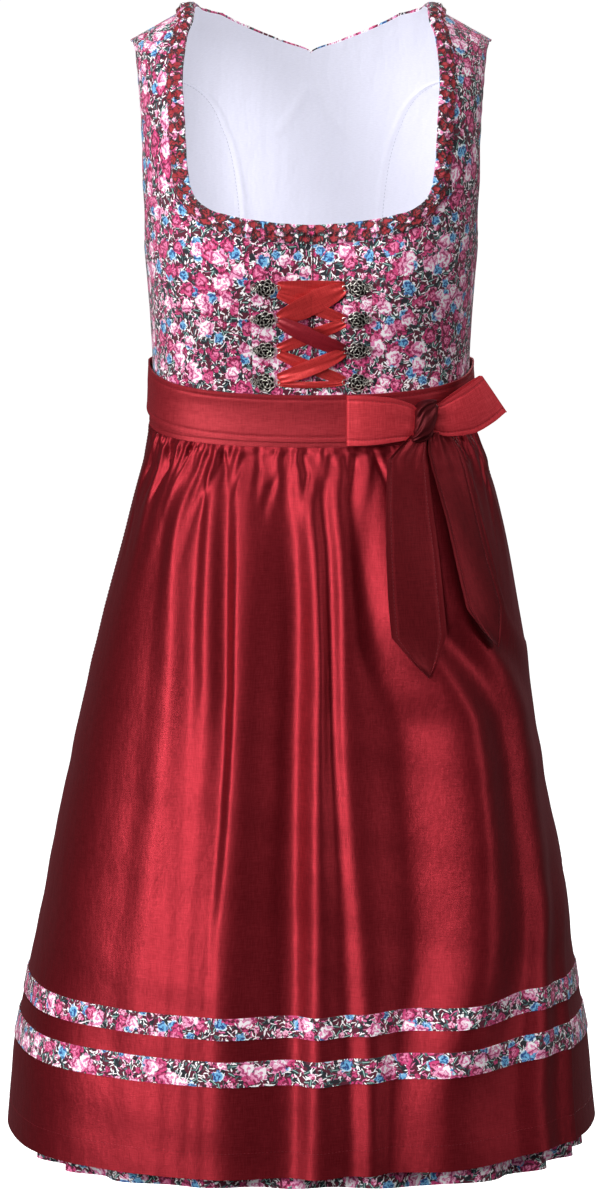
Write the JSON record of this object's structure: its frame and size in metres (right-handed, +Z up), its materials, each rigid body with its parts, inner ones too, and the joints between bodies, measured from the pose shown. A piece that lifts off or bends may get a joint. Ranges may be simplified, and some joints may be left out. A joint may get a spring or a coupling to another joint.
{
  "type": "dirndl",
  "caption": "Sleeveless dirndl with laced floral bodice, gathered skirt and taffeta apron tied in a bow, filled out as worn.",
  "frame": {"origin": "midway between the shoulder straps at shoulder height, where the wearer's shoulders carry the dress", "axes": "+Z up, -Y towards the front of the dress, +X towards the wearer's left"},
  "size_m": [0.5367, 0.4368, 1.0469],
  "materials": {
    "floral": "printed cotton, matt, small roses on a dark ground",
    "cotton": "white plain-weave cotton lining",
    "trim": "ruched strip of printed cotton and dark red taffeta",
    "taffeta": "lustrous dark red taffeta with a fine weave",
    "satin": "bright red satin ribbon",
    "silver": "antique silver filigree"
  },
  "bodies": {
    "root": {"bodice_centre_front_left": "floral", "bodice_side_front_left": "floral", "bodice_centre_front_right": "floral", "bodice_side_front_right": "floral", "bodice_centre_back": "floral", "bodice_side_back_left": "floral", "bodice_side_back_right": "floral", "back_lining": "cotton", "neck_trim": "trim", "ornament_left_1": "silver", "ornament_right_1": "silver", "ornament_left_2": "silver", "ornament_right_2": "silver", "ornament_left_3": "silver", "ornament_right_3": "silver", "ornament_left_4": "silver", "ornament_right_4": "silver", "lace_top": "satin", "lace_over_1": "satin", "lace_under_1": "satin", "lace_over_2": "satin", "lace_under_2": "satin", "lace_over_3": "satin", "lace_under_3": "satin", "lace_bottom": "satin", "skirt_front": "floral", "skirt_back_left": "floral", "skirt_back_right": "floral", "apron_panel": "taffeta", "apron_stripe_upper": "floral", "apron_stripe_lower": "floral", "apron_waistband": "taffeta", "tie_band": "taffeta", "bow_knot": "taffeta", "bow_loop_centre": "taffeta", "bow_loop_side": "taffeta", "bow_tail_centre": "taffeta", "bow_tail_side": "taffeta"}
  },
  "joints": []
}
